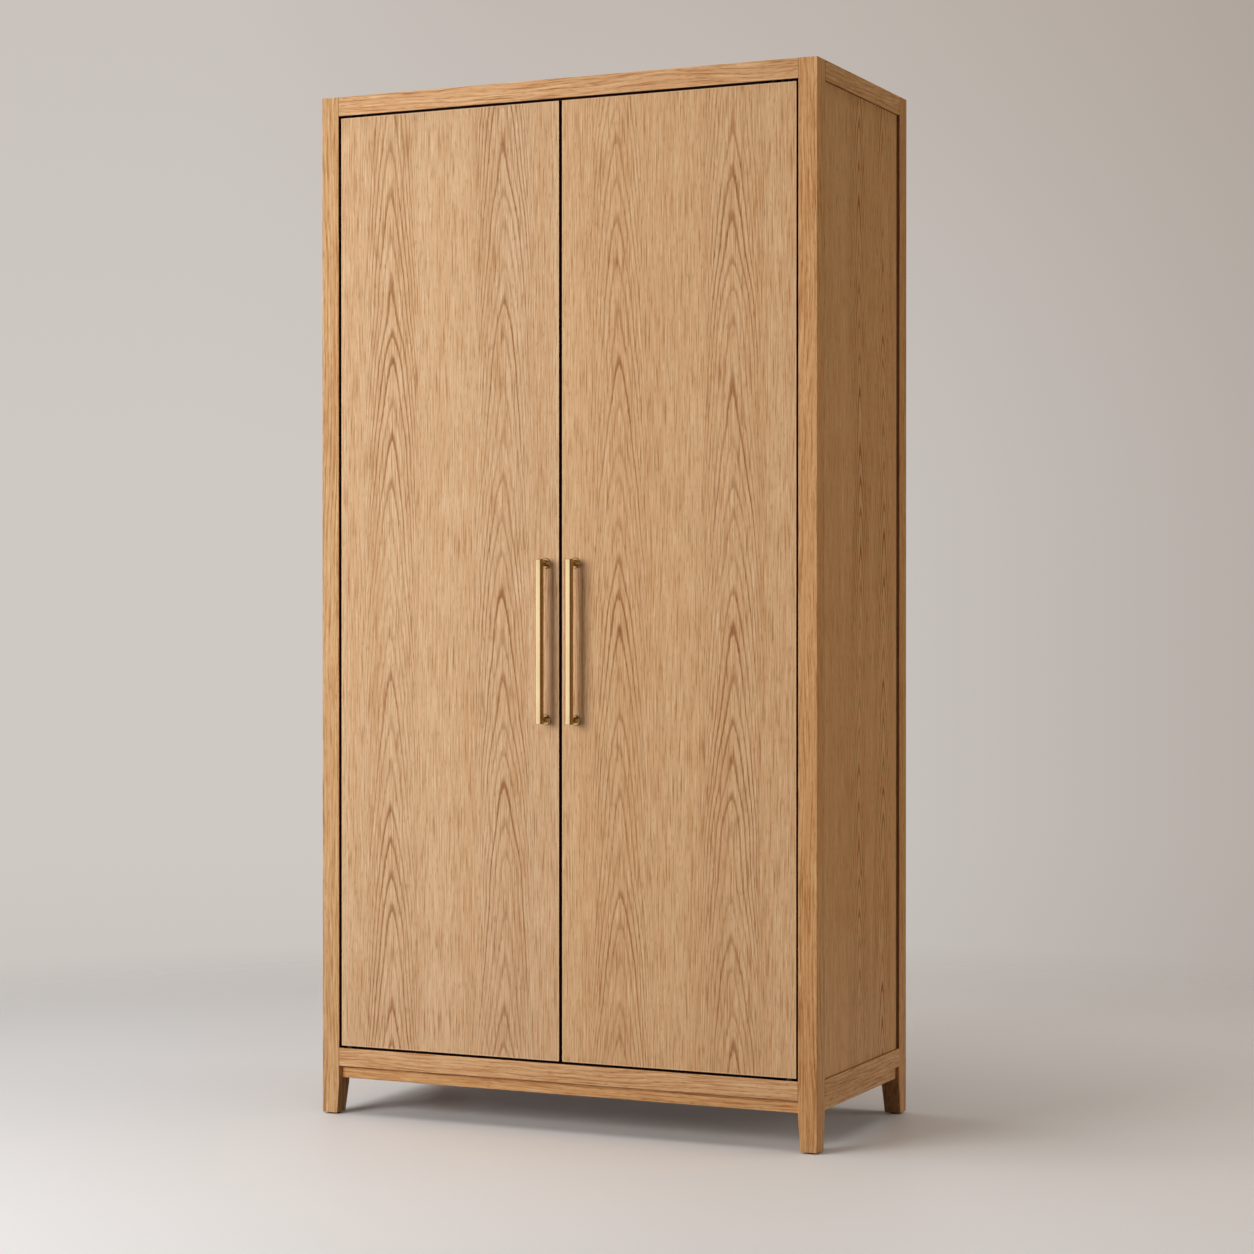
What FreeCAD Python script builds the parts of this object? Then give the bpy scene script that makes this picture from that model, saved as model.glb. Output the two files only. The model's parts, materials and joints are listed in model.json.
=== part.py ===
import FreeCAD, Part
import math
import os
import re
import Sketcher

# A two-door oak wardrobe on a post-and-rail frame. Millimetres, +Z up, doors facing -Y.
# The origin is on the floor, under the middle of the box that holds the whole object.

doc = FreeCAD.newDocument("wardrobe")
sheet = doc.addObject("Spreadsheet::Sheet", "Sizes")

# Driving dimensions: each row is a name, a size and what the size is.
SIZES = [
    ("overall_width", 1120, "outer faces of the posts, side to side"),
    ("carcass_depth", 530, "outer faces of the posts, front to rear"),
    ("overall_height", 2150, "floor to the top of the posts"),
    ("post_width", 40, "post, side to side"),
    ("post_depth", 44, "post, front to rear"),
    ("taper_start", 66, "height above the floor where a leg starts to taper"),
    ("taper_width", 5, "taken off the inner side of a leg at its foot"),
    ("taper_depth", 8, "taken off the inner front or rear of a leg at its foot"),
    ("rail_thickness", 24, "top and base rails"),
    ("top_rail_height", 40, "top rails"),
    ("base_rail_height", 38, "base rails"),
    ("base_rail_bottom", 103, "floor to the underside of the base rails"),
    ("apron_thickness", 24, "aprons under the base rails"),
    ("apron_height", 26, "aprons"),
    ("apron_setback", 12, "front and rear aprons behind the posts' faces"),
    ("apron_side_setback", 8, "side aprons behind the posts' faces"),
    ("tenon_thickness", 9, "all tenons"),
    ("tenon_length", 20, "rail tenons"),
    ("tenon_shoulder", 11, "rail above and below its tenon"),
    ("apron_tenon_length", 12, "apron tenons"),
    ("apron_shoulder", 6, "apron above and below its tenon"),
    ("joint_clearance", 0.1, "glue room on each side of a tenon, panel or dowel"),
    ("mortise_end_gap", 1, "mortise beyond the end of its tenon"),
    ("groove_depth", 9, "panel grooves"),
    ("panel_end_gap", 1, "panel edge to the bottom of its groove, and loose panel edges"),
    ("side_panel_thickness", 12, "side panels"),
    ("side_panel_recess", 6.5, "side panels behind the posts' outer faces"),
    ("back_panel_thickness", 6, "back panels"),
    ("back_panel_recess", 5, "back panels in front of the posts' rear faces"),
    ("back_stile_width", 60, "stile between the back panels"),
    ("stile_tenon_width", 36, "tenons of the back stile"),
    ("stile_tenon_length", 12, "tenons of the back stile"),
    ("top_panel_thickness", 12, "top panel, flush with the rails"),
    ("top_rebate_width", 10, "ledge in the top rails under the top panel"),
    ("floor_panel_thickness", 18, "wardrobe floor, lying on the aprons"),
    ("hat_space_height", 280, "top of the hat shelf to the underside of the top rails"),
    ("shelf_thickness", 22, "hat shelf"),
    ("cleat_height", 90, "cleats under the hat shelf"),
    ("dowel_diameter", 8, "dowels in the cleats and the shelf"),
    ("dowel_length", 30, "dowels in the cleats and the shelf"),
    ("cleat_dowel_edge", 20, "dowels from the upper and lower edge of a cleat"),
    ("shelf_dowel_edge", 80, "shelf dowels from the front and rear posts"),
    ("shelf_dowel_rise", 12, "shelf dowels above the top of a cleat"),
    ("hanging_rail_diameter", 25, "hanging rail"),
    ("hanging_rail_wall", 1.5, "hanging rail"),
    ("hanging_rail_drop", 55, "underside of the shelf to the rail's centre"),
    ("hanging_rail_setback", 268, "posts' front faces to the rail's centre"),
    ("hanging_rail_end_gap", 0.5, "rail's ends to the socket flanges"),
    ("socket_diameter", 56, "flange of a rail socket"),
    ("socket_flange", 3, "thickness of a socket's flange"),
    ("socket_depth", 18, "whole depth of a socket"),
    ("socket_wall", 3, "ring of a socket round the rail"),
    ("socket_clearance", 0.1, "ring to rail, on the radius"),
    ("socket_screw_circle", 44, "circle through a socket's screws"),
    ("door_thickness", 20, "door with its veneers"),
    ("door_recess", 3, "doors behind the posts' front faces"),
    ("door_side_gap", 5, "door to post"),
    ("door_top_gap", 5, "door to top rail"),
    ("door_bottom_gap", 5, "door to base rail"),
    ("door_centre_gap", 7, "door to door"),
    ("veneer_thickness", 1, "face veneers of a door"),
    ("lipping_thickness", 6, "edge lippings of a door"),
    ("pivot_backset", 16, "pivot axis from the hinge edge of a door"),
    ("pivot_pin_diameter", 8, "pivot pins"),
    ("pivot_engagement", 14, "pin inside its bush"),
    ("pivot_clearance", 0.05, "pin to bush, on the radius"),
    ("pivot_embed", 36, "upper pin in the door"),
    ("bush_diameter", 12, "pivot bushes"),
    ("bush_length", 18, "pivot bushes"),
    ("plate_nose", 14, "pivot plates, from the pivot axis towards the post"),
    ("plate_tail", 46, "pivot plates, from the pivot axis towards the middle"),
    ("plate_width", 16, "pivot plates"),
    ("plate_thickness", 3, "pivot plates"),
    ("plate_screw_near", 18, "first plate screw from the pivot axis"),
    ("plate_screw_far", 37, "second plate screw from the pivot axis"),
    ("washer_diameter", 16, "thrust washers"),
    ("washer_bore_clearance", 0.2, "washer to pin, on the radius"),
    ("washer_gap", 0.3, "washer to the door above it"),
    ("stop_thickness", 20, "door stop strip"),
    ("stop_gap", 1, "shut door to the stop strip"),
    ("stop_drop", 26, "stop strip below the top rail"),
    ("stop_end_gap", 80, "stop strip to the posts"),
    ("stop_top_gap", 2, "stop strip to the top panel"),
    ("stop_screw_rise", 12, "stop screws above the underside of the top rail"),
    ("stop_screw_edge", 60, "outer stop screws from the strip's ends"),
    ("stop_screw_inset", 150, "inner stop screws from the middle"),
    ("magnet_diameter", 10, "catch magnets"),
    ("magnet_length", 8, "catch magnets"),
    ("strike_diameter", 14, "strike plates"),
    ("strike_thickness", 1.5, "strike plates"),
    ("catch_offset", 45, "catches from the middle"),
    ("catch_drop", 18, "catches below the top rail"),
    ("handle_height", 1003, "floor to the middle of a handle"),
    ("handle_offset", 33.5, "handles from the middle"),
    ("handle_spacing", 320, "standoffs of a handle, centre to centre"),
    ("handle_projection", 29.5, "door face to the bar's axis"),
    ("bar_diameter", 17, "handle bar"),
    ("bar_overhang", 8, "handle bar beyond the centres of its standoffs"),
    ("bar_chamfer", 1, "ends of a handle bar"),
    ("standoff_diameter", 13, "handle standoffs"),
    ("spigot_diameter", 8, "standoff spigots in the bar"),
    ("spigot_overlap", 2, "spigot past the bar's axis, and rooted in its standoff"),
    ("rosette_diameter", 22, "rosettes under the standoffs"),
    ("rosette_thickness", 3, "rosettes under the standoffs"),
    ("rosette_chamfer", 0.6, "rim of a rosette"),
    ("bolt_diameter", 5, "handle bolts"),
    ("bolt_hole_clearance", 0.3, "bolt to door and rosette, on the radius"),
    ("bolt_head_diameter", 9.5, "handle bolts"),
    ("bolt_head_height", 3, "handle bolts"),
    ("bolt_head_room", 0.5, "counterbore round and over a bolt's head"),
    ("bolt_grip", 10, "bolt inside its standoff"),
    ("screw_diameter", 4, "wood screws"),
    ("screw_head_diameter", 8, "wood screws"),
    ("screw_head_depth", 2.4, "countersunk head"),
    ("screw_tip", 4, "pointed end"),
    ("plate_screw_length", 18, "screws in the pivot plates"),
    ("socket_screw_cover", 5.5, "cleat left beyond the points of a socket's screws"),
    ("stop_screw_length", 30, "screws in the stop strip"),
    ("slot_length", 4.4, "cross recess in a head"),
    ("slot_width", 1, "cross recess in a head"),
    ("slot_depth", 1.4, "cross recess in a head"),
    ("wall_hole_diameter", 6, "holes for wall screws in the rear top rail"),
    ("wall_hole_spacing", 600, "holes for wall screws, centre to centre"),
    ("wall_hole_rise", 17, "wall screws above the underside of the top rail"),
    ("glide_diameter", 27, "floor glides"),
    ("glide_height", 3, "floor glides below the legs"),
    ("glide_chamfer", 0.8, "lower rim of a glide"),
    ("glide_nail_diameter", 4, "nail of a glide"),
    ("glide_nail_length", 18, "nail of a glide in its leg"),
    ("cut_overrun", 2, "cutting shapes beyond the faces that they open"),
]
for row, (name, value, meaning) in enumerate(SIZES, start=1):
    sheet.set(f"A{row}", meaning)
    sheet.set(f"B{row}", str(value))
    sheet.setAlias(f"B{row}", name)
doc.recompute()

# Places that follow from the driving dimensions, as formulas on their names.
PLACES = {
    "half_width": "overall_width / 2",
    "opening_half": "half_width - post_width",
    "handle_reach": "handle_projection + bar_diameter / 2",
    "front_face": "(handle_reach - door_recess - carcass_depth) / 2",
    "rear_face": "front_face + carcass_depth",
    "top_rail_bottom": "overall_height - top_rail_height",
    "base_rail_top": "base_rail_bottom + base_rail_height",
    "apron_bottom": "base_rail_bottom - apron_height",
    "panel_bottom": "base_rail_top - groove_depth + panel_end_gap",
    "panel_top": "top_rail_bottom + groove_depth - panel_end_gap",
    "side_panel_inside": "side_panel_recess + side_panel_thickness",
    "cleat_outside": "side_panel_inside + panel_end_gap",
    "shelf_height": "top_rail_bottom - hat_space_height",
    "shelf_bottom": "shelf_height - shelf_thickness",
    "cleat_bottom": "shelf_bottom - cleat_height",
    "hanging_rail_height": "shelf_bottom - hanging_rail_drop",
    "hanging_rail_radius": "hanging_rail_diameter / 2",
    "socket_bore": "hanging_rail_radius + socket_clearance",
    "socket_screw_length": "socket_flange + post_width - cleat_outside - socket_screw_cover",
    "door_front": "front_face + door_recess",
    "door_rear": "door_front + door_thickness",
    "core_front": "door_front + veneer_thickness",
    "core_rear": "door_rear - veneer_thickness",
    "door_inner": "door_centre_gap / 2",
    "door_outer": "opening_half - door_side_gap",
    "door_bottom": "base_rail_top + door_bottom_gap",
    "door_top": "top_rail_bottom - door_top_gap",
    "pivot_x": "door_outer - pivot_backset",
    "pivot_y": "door_front + door_thickness / 2",
    "pivot_bore": "pivot_pin_diameter / 2 + pivot_clearance",
    "stop_half": "opening_half - stop_end_gap",
    "stop_face": "door_rear + stop_gap",
    "stop_rear": "front_face + rail_thickness + stop_thickness",
    "catch_height": "top_rail_bottom - catch_drop",
    "bar_axis": "door_front - handle_projection",
    "bar_length": "handle_spacing + 2 * bar_overhang",
    "rosette_face": "door_front - rosette_thickness",
    "bolt_hole": "bolt_diameter / 2 + bolt_hole_clearance",
    "bolt_seat": "bolt_head_height + bolt_head_room",
    "bolt_length": "door_thickness - bolt_head_room + rosette_thickness + bolt_grip",
}

SIDES = ("left", "right")
ENDS = ("front", "rear")
TURNS = {
    "up": FreeCAD.Rotation(),
    "down": FreeCAD.Rotation(FreeCAD.Vector(1, 0, 0), 180),
    "right": FreeCAD.Rotation(FreeCAD.Vector(0, 1, 0), 90),
    "left": FreeCAD.Rotation(FreeCAD.Vector(0, 1, 0), -90),
    "rear": FreeCAD.Rotation(FreeCAD.Vector(1, 0, 0), -90),
    "front": FreeCAD.Rotation(FreeCAD.Vector(1, 0, 0), 90),
}

pieces = []


# Formulas

def bound(formula):
    """The formula with each place written out and each size read from its cell."""
    def read(match):
        name = match.group(0)
        if name in PLACES:
            return f"({bound(PLACES[name])})"
        return f"Sizes.{name}"
    return re.sub(r"[a-z][a-z_]*", read, formula)


def across(side, low, high):
    """A span in x between two distances inward from one side's outer face."""
    if side == "right":
        return f"half_width - ({high})", f"half_width - ({low})"
    return f"-half_width + ({low})", f"-half_width + ({high})"


def deep(end, low, high):
    """A span in y between two distances inward from the front or the rear face."""
    if end == "front":
        return f"front_face + ({low})", f"front_face + ({high})"
    return f"rear_face - ({high})", f"rear_face - ({low})"


def back_from(end, distance):
    """A place in y at a distance inward from the front or the rear face."""
    return f"front_face + ({distance})" if end == "front" else f"rear_face - ({distance})"


def on_side(side, distance):
    """A place in x at a distance from the middle, on one side."""
    return distance if side == "right" else f"-({distance})"


def span_on_side(side, low, high):
    """A span in x between two distances from the middle, on one side."""
    return (low, high) if side == "right" else (f"-({high})", f"-({low})")


def about(middle, size):
    """A span of one size about a middle."""
    return f"{middle} - ({size}) / 2", f"{middle} + ({size}) / 2"


def grown(span, margin="joint_clearance"):
    """A span made wider by a margin at both ends."""
    return f"{span[0]} - {margin}", f"{span[1]} + {margin}"


# Building blocks

def place(thing, direction, at):
    """Turn a shape's own +Z to a direction and bind its place to formulas."""
    thing.Placement = FreeCAD.Placement(FreeCAD.Vector(), TURNS[direction])
    for axis, formula in zip("xyz", at):
        thing.setExpression(f"Placement.Base.{axis}", bound(formula))
    return thing


def box(name, x, y, z):
    """A block between three spans."""
    block = doc.addObject("Part::Box", name)
    for side, (low, high) in zip(("Length", "Width", "Height"), (x, y, z)):
        block.setExpression(side, bound(f"({high}) - ({low})"))
    return place(block, "up", (x[0], y[0], z[0]))


def corner_box(name, side, end, inward, back, z):
    """A block at one corner, by distances in from its side face and its end face."""
    return box(name, across(side, *inward), deep(end, *back), z)


def rod(name, direction, at, diameter, length):
    """A round rod that starts at a place and runs in a direction."""
    cylinder = doc.addObject("Part::Cylinder", name)
    cylinder.setExpression("Radius", bound(f"({diameter}) / 2"))
    cylinder.setExpression("Height", bound(length))
    return place(cylinder, direction, at)


def fuse(name, parts):
    """Several shapes as one solid."""
    joined = doc.addObject("Part::MultiFuse", name)
    joined.Shapes = parts
    joined.Refine = True
    return joined


def cut(name, base, waste):
    """A shape with others taken away from it."""
    result = doc.addObject("Part::Cut", name)
    result.Base = base
    result.Tool = waste[0] if len(waste) == 1 else fuse(f"{name}_waste", waste)
    return result


def group(name, parts):
    """Separate solids kept together as one piece."""
    together = doc.addObject("Part::Compound", name)
    together.Links = parts
    return together


def tube(name, direction, at, diameter, bore, length):
    """A round tube: a rod with a bore right through it."""
    outside = rod(f"{name}_outside", direction, at, diameter, length)
    inside = rod(f"{name}_inside", direction, at, bore, length)
    return cut(name, outside, [inside])


def turned(name, outline, direction, at):
    """A lathe-turned body: a closed half-section of (radius, height) corners, spun round its axis."""
    body = doc.addObject("PartDesign::Body", name)
    upright = next(plane for plane in body.Origin.OriginFeatures if plane.Role == "XZ_Plane")
    section = body.newObject("Sketcher::SketchObject", f"{name}_section")
    section.AttachmentSupport = [(upright, "")]
    section.MapMode = "FlatFace"
    corners = [FreeCAD.Vector(*(float(sheet.evalExpression(bound(size))) for size in corner), 0)
               for corner in outline]
    for corner, following in zip(corners, corners[1:] + corners[:1]):
        section.addGeometry(Part.LineSegment(corner, following), False)
    for line, corner in enumerate(outline):
        section.addConstraint(Sketcher.Constraint("Coincident", line, 2, (line + 1) % len(outline), 1))
        for kind, size, start in zip(("DistanceX", "DistanceY"), corner, corners[line]):
            pin = section.addConstraint(Sketcher.Constraint(kind, -1, 1, line, 1, start))
            section.setExpression(f"Constraints[{pin}]", bound(size))
    spin = body.newObject("PartDesign::Revolution", f"{name}_spin")
    spin.Profile = section
    spin.ReferenceAxis = (section, ["V_Axis"])
    spin.Angle = 360
    return place(body, direction, at)


def copy_at(name, master, direction, at):
    """A copy of a shape that was made about the origin."""
    return place(group(name, [master]), direction, at)


def piece(thing):
    """Note a finished piece of the wardrobe."""
    pieces.append(thing)
    return thing


# Screws, made about the origin: the head's face at the origin, the point along +Z.

ORIGIN = ("0", "0", "0")


def cross_recess(name):
    """The cross that a driver fits."""
    depth = ("0", "slot_depth")
    return [
        box(f"{name}_slot", about("0", "slot_length"), about("0", "slot_width"), depth),
        box(f"{name}_cross_slot", about("0", "slot_width"), about("0", "slot_length"), depth),
    ]


def cone(name, base_diameter, end_diameter, start, length):
    """A cone along +Z."""
    shape = doc.addObject("Part::Cone", name)
    shape.setExpression("Radius1", bound(f"({base_diameter}) / 2"))
    shape.setExpression("Radius2", bound(f"({end_diameter}) / 2"))
    shape.setExpression("Height", bound(length))
    return place(shape, "up", ("0", "0", start))


def wood_screw(name, length):
    """A countersunk screw, and the plain shape of the hole that it fills."""
    neck = f"{length} - screw_tip"
    hole = fuse(f"{name}_hole", [
        cone(f"{name}_head", "screw_head_diameter", "screw_diameter", "0", "screw_head_depth"),
        rod(f"{name}_shank", "up", ORIGIN, "screw_diameter", neck),
        cone(f"{name}_tip", "screw_diameter", "slot_width", neck, "screw_tip"),
    ])
    return cut(name, hole, cross_recess(name)), hole


def machine_bolt(name):
    """A handle bolt with a flat round head."""
    blank = fuse(f"{name}_blank", [
        rod(f"{name}_head", "up", ORIGIN, "bolt_head_diameter", "bolt_head_height"),
        rod(f"{name}_shank", "up", ORIGIN, "bolt_diameter", "bolt_length"),
    ])
    return cut(name, blank, cross_recess(name))


socket_screw, socket_screw_hole = wood_screw("socket_screw", "socket_screw_length")
plate_screw, plate_screw_hole = wood_screw("plate_screw", "plate_screw_length")
stop_screw, stop_screw_hole = wood_screw("stop_screw", "stop_screw_length")
handle_bolt = machine_bolt("handle_bolt")


def drive(name, screw, hole, direction, at, screws):
    """Drive a screw: it joins the list of screws, and the shape of its hole comes back."""
    screws.append(copy_at(name, screw, direction, at))
    return copy_at(f"{name}_bore", hole, direction, at)


# Rails and aprons, tenoned into the posts

post_waste = {(side, end): [] for side in SIDES for end in ENDS}
top_waste = {spot: [] for spot in ENDS + SIDES}
base_waste = {spot: [] for spot in ENDS + SIDES}

BETWEEN_SIDES = ("-opening_half", "opening_half")
BETWEEN_ENDS = ("front_face + post_depth", "rear_face - post_depth")


def framed(name, spot, setback, thickness, z, tenon_length, shoulder):
    """A rail or apron between the two posts of a side or an end; its mortises go to the posts."""
    faces = (setback, f"{setback} + {thickness}")
    cheeks = about(f"{setback} + {thickness} / 2", "tenon_thickness")
    edges = (f"{z[0]} + {shoulder}", f"{z[1]} - {shoulder}")
    if spot in ENDS:
        post = "post_width"
        corners = [(side, spot) for side in SIDES]
        parts = [box(f"{name}_stock", BETWEEN_SIDES, deep(spot, *faces), z)]
    else:
        post = "post_depth"
        corners = [(spot, end) for end in ENDS]
        parts = [box(f"{name}_stock", across(spot, *faces), BETWEEN_ENDS, z)]
    for side, end in corners:
        reach = (f"{post} - {tenon_length}", post)
        room = (f"{post} - {tenon_length} - mortise_end_gap", f"{post} + cut_overrun")
        tenon = (reach, cheeks)
        mortise = (room, grown(cheeks))
        if spot in SIDES:
            tenon = (cheeks, reach)
            mortise = (grown(cheeks), room)
        parts.append(corner_box(f"{name}_tenon_{side}_{end}", side, end, *tenon, edges))
        waste = corner_box(f"{name}_mortise_{side}_{end}", side, end, *mortise, grown(edges))
        post_waste[side, end].append(waste)
    return fuse(name, parts)


def rail_blanks(level, z):
    """The four rails of the top or the base, before their grooves are cut."""
    return {spot: framed(f"{spot}_{level}_rail_blank", spot, "0", "rail_thickness", z,
                         "tenon_length", "tenon_shoulder") for spot in ENDS + SIDES}


top_blanks = rail_blanks("top", ("top_rail_bottom", "overall_height"))
base_blanks = rail_blanks("base", ("base_rail_bottom", "base_rail_top"))
for spot in ENDS + SIDES:
    setback = "apron_setback" if spot in ENDS else "apron_side_setback"
    piece(framed(f"{spot}_apron", spot, setback, "apron_thickness",
                 ("apron_bottom", "base_rail_bottom"), "apron_tenon_length", "apron_shoulder"))

# Side and back panels, in grooves of the posts and rails

SIDE_GROOVE = grown(("side_panel_recess", "side_panel_inside"))
BACK_PANEL = ("back_panel_recess", "back_panel_recess + back_panel_thickness")
BACK_GROOVE = deep("rear", *grown(BACK_PANEL))
TOP_GROOVE_RISE = ("top_rail_bottom - cut_overrun", "top_rail_bottom + groove_depth")
BASE_GROOVE_RISE = ("base_rail_top - groove_depth", "base_rail_top + cut_overrun")
POST_GROOVE_RISE = ("base_rail_top - groove_depth", "top_rail_bottom + groove_depth")
PANEL_RISE = ("panel_bottom", "panel_top")

for side in SIDES:
    groove = across(side, *SIDE_GROOVE)
    top_waste[side].append(box(f"{side}_top_groove", groove, BETWEEN_ENDS, TOP_GROOVE_RISE))
    base_waste[side].append(box(f"{side}_base_groove", groove, BETWEEN_ENDS, BASE_GROOVE_RISE))
    for end in ENDS:
        post_waste[side, end].append(corner_box(
            f"{end}_{side}_side_groove", side, end, SIDE_GROOVE,
            ("post_depth - groove_depth", "post_depth + cut_overrun"), POST_GROOVE_RISE))
    piece(box(
        f"{side}_side_panel", across(side, "side_panel_recess", "side_panel_inside"),
        grown(BETWEEN_ENDS, "(groove_depth - panel_end_gap)"), PANEL_RISE))
    post_waste[side, "rear"].append(box(
        f"{side}_back_groove",
        across(side, "post_width - groove_depth", "post_width + cut_overrun"), BACK_GROOVE, POST_GROOVE_RISE))
    piece(box(
        f"{side}_back_panel",
        span_on_side(side, "back_stile_width / 2 - groove_depth + panel_end_gap",
                     "opening_half + groove_depth - panel_end_gap"),
        deep("rear", *BACK_PANEL), PANEL_RISE))
top_waste["rear"].append(box("rear_top_groove", BETWEEN_SIDES, BACK_GROOVE, TOP_GROOVE_RISE))
base_waste["rear"].append(box("rear_base_groove", BETWEEN_SIDES, BACK_GROOVE, BASE_GROOVE_RISE))

# The stile between the back panels, tenoned into the rear rails

stile_cheeks = about("rail_thickness / 2", "tenon_thickness")
stile_mortise = deep("rear", *grown(stile_cheeks))
tongue_width = about("0", "stile_tenon_width")
stile_blank = fuse("back_stile_blank", [
    box("back_stile_stock", about("0", "back_stile_width"), deep("rear", "0", "rail_thickness"),
        ("base_rail_top", "top_rail_bottom")),
    box("back_stile_tongue", tongue_width, deep("rear", *stile_cheeks),
        ("base_rail_top - stile_tenon_length", "top_rail_bottom + stile_tenon_length")),
])
piece(cut("back_stile", stile_blank, [
    box(f"{side}_stile_groove",
        span_on_side(side, "back_stile_width / 2 - groove_depth", "back_stile_width / 2 + cut_overrun"),
        BACK_GROOVE, ("base_rail_top", "top_rail_bottom"))
    for side in SIDES
]))
top_waste["rear"].append(box(
    "stile_top_mortise", grown(tongue_width), stile_mortise,
    ("top_rail_bottom - cut_overrun", "top_rail_bottom + stile_tenon_length + mortise_end_gap")))
base_waste["rear"].append(box(
    "stile_base_mortise", grown(tongue_width), stile_mortise,
    ("base_rail_top - stile_tenon_length - mortise_end_gap", "base_rail_top + cut_overrun")))

# Top panel on a ledge of the top rails, and wardrobe floor on the aprons


def notched(name, inset, z):
    """A board between the rails, with its four corners cut out to clear the posts."""
    board = box(f"{name}_board", (f"-half_width + {inset}", f"half_width - ({inset})"),
                (f"front_face + {inset}", f"rear_face - ({inset})"), z)
    notches = [
        corner_box(f"{name}_{end}_{side}_notch", side, end, ("0", "post_width + panel_end_gap"),
                   ("0", "post_depth + panel_end_gap"), grown(z, "cut_overrun"))
        for side in SIDES for end in ENDS
    ]
    return piece(cut(name, board, notches))


LEDGE = ("rail_thickness - top_rebate_width", "rail_thickness + cut_overrun")
LEDGE_RISE = ("overall_height - top_panel_thickness", "overall_height + cut_overrun")
for end in ENDS:
    top_waste[end].append(box(f"{end}_ledge", BETWEEN_SIDES, deep(end, *LEDGE), LEDGE_RISE))
for side in SIDES:
    top_waste[side].append(box(f"{side}_ledge", across(side, *LEDGE), BETWEEN_ENDS, LEDGE_RISE))
notched("top_panel", "rail_thickness - top_rebate_width + panel_end_gap",
        ("overall_height - top_panel_thickness", "overall_height"))
notched("floor_panel", "rail_thickness + panel_end_gap",
        ("base_rail_bottom", "base_rail_bottom + floor_panel_thickness"))

# Hat shelf on two doweled cleats, and the hanging rail in its sockets

dowels = []
short_screws = []
shelf_waste = []
SOCKET_ANGLES = (90, 210, 330)
SOCKET_OUTLINE = [
    ("0", "0"),
    ("socket_diameter / 2", "0"),
    ("socket_diameter / 2", "socket_flange"),
    ("socket_bore + socket_wall", "socket_flange"),
    ("socket_bore + socket_wall", "socket_depth"),
    ("socket_bore", "socket_depth"),
    ("socket_bore", "socket_flange"),
    ("0", "socket_flange"),
]


def dowel(name, direction, at):
    """A dowel, which is also the shape of its hole."""
    dowels.append(rod(name, direction, at, "dowel_diameter", "dowel_length"))
    return dowels[-1]


def cleat_dowels(side):
    """Dowels from a cleat into its two posts and up into the shelf."""
    middle = on_side(side, "half_width - (cleat_outside + post_width) / 2")
    holes = []
    for end, inward in (("front", "rear"), ("rear", "front")):
        start = back_from(end, "post_depth - dowel_length / 2")
        for level, height in (("lower", "cleat_bottom + cleat_dowel_edge"),
                              ("upper", "shelf_bottom - cleat_dowel_edge")):
            hole = dowel(f"{side}_{end}_{level}_dowel", inward, (middle, start, height))
            post_waste[side, end].append(hole)
            holes.append(hole)
        row = back_from(end, "post_depth + shelf_dowel_edge")
        hole = dowel(f"{side}_{end}_shelf_dowel", "down", (middle, row, "shelf_bottom + shelf_dowel_rise"))
        shelf_waste.append(hole)
        holes.append(hole)
    return holes


def rail_socket(side):
    """A flanged cup on a cleat for one end of the hanging rail; its screw holes come back too."""
    outward, inward = ("right", "left") if side == "right" else ("left", "right")
    depth = "front_face + hanging_rail_setback"
    cup = turned(f"{side}_socket_cup", SOCKET_OUTLINE, inward,
                 (on_side(side, "opening_half"), depth, "hanging_rail_height"))
    holes = []
    for angle in SOCKET_ANGLES:
        beside = f"socket_screw_circle / 2 * {math.cos(math.radians(angle)):.6f}"
        above = f"socket_screw_circle / 2 * {math.sin(math.radians(angle)):.6f}"
        at = (on_side(side, "opening_half - socket_flange"), f"{depth} + ({beside})",
              f"hanging_rail_height + ({above})")
        holes.append(drive(f"{side}_socket_screw_{angle}", socket_screw, socket_screw_hole, outward, at,
                           short_screws))
    return cut(f"{side}_socket", cup, holes), holes


sockets = []
for side in SIDES:
    socket, socket_holes = rail_socket(side)
    sockets.append(socket)
    board = box(f"{side}_cleat_board", across(side, "cleat_outside", "post_width"),
                BETWEEN_ENDS, ("cleat_bottom", "shelf_bottom"))
    piece(cut(f"{side}_shelf_cleat", board, cleat_dowels(side) + socket_holes))
piece(group("rail_sockets", sockets))
piece(group("dowel_pins", dowels))

shelf_half = "half_width - (cleat_outside)"
shelf_board = box("hat_shelf_board", (f"-({shelf_half})", shelf_half),
                  grown(BETWEEN_ENDS, "-panel_end_gap"), ("shelf_bottom", "shelf_height"))
piece(cut("hat_shelf", shelf_board, shelf_waste))

rail_half = "opening_half - socket_flange - hanging_rail_end_gap"
piece(tube("hanging_rail", "right",
           (f"-({rail_half})", "front_face + hanging_rail_setback", "hanging_rail_height"),
           "hanging_rail_diameter", "hanging_rail_diameter - 2 * hanging_rail_wall", f"2 * ({rail_half})"))

# Door stop strip: its root lies against the front top rail, and its lip with the magnets meets the doors

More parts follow.
